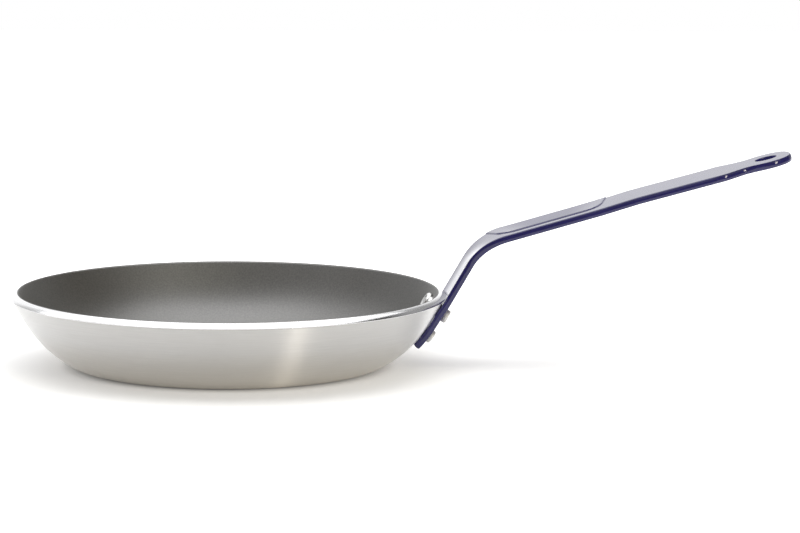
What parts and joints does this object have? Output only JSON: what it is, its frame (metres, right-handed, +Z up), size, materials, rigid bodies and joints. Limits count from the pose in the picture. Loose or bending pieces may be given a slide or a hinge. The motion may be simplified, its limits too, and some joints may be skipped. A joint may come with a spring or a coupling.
{
  "type": "nonstick frying pan",
  "caption": "Frying pan with flared thick aluminium wall, bare polished rim, grey nonstick inside and a bent flat coated steel strip handle riveted to the wall, with a hanging hole.",
  "frame": {"origin": "centre of the flat underside of the base, where the pan stands", "axes": "+Z up through the bowl, +X along the handle away from the bowl, +Y to the right of a cook who holds the handle"},
  "size_m": [0.4315, 0.2396, 0.1175],
  "materials": {
    "aluminium": "round-brushed satin outside, polished rim",
    "nonstick": "satin dark grey fluoropolymer with a fine speckle",
    "handle_epoxy": "glossy dark blue epoxy over steel strip",
    "rivet_aluminium": "bright bare aluminium"
  },
  "bodies": {
    "root": {"pan_body": "aluminium", "nonstick_coating": "nonstick", "handle": "handle_epoxy", "rivet_upper_left": "rivet_aluminium", "rivet_upper_right": "rivet_aluminium", "rivet_lower": "rivet_aluminium"}
  },
  "joints": []
}
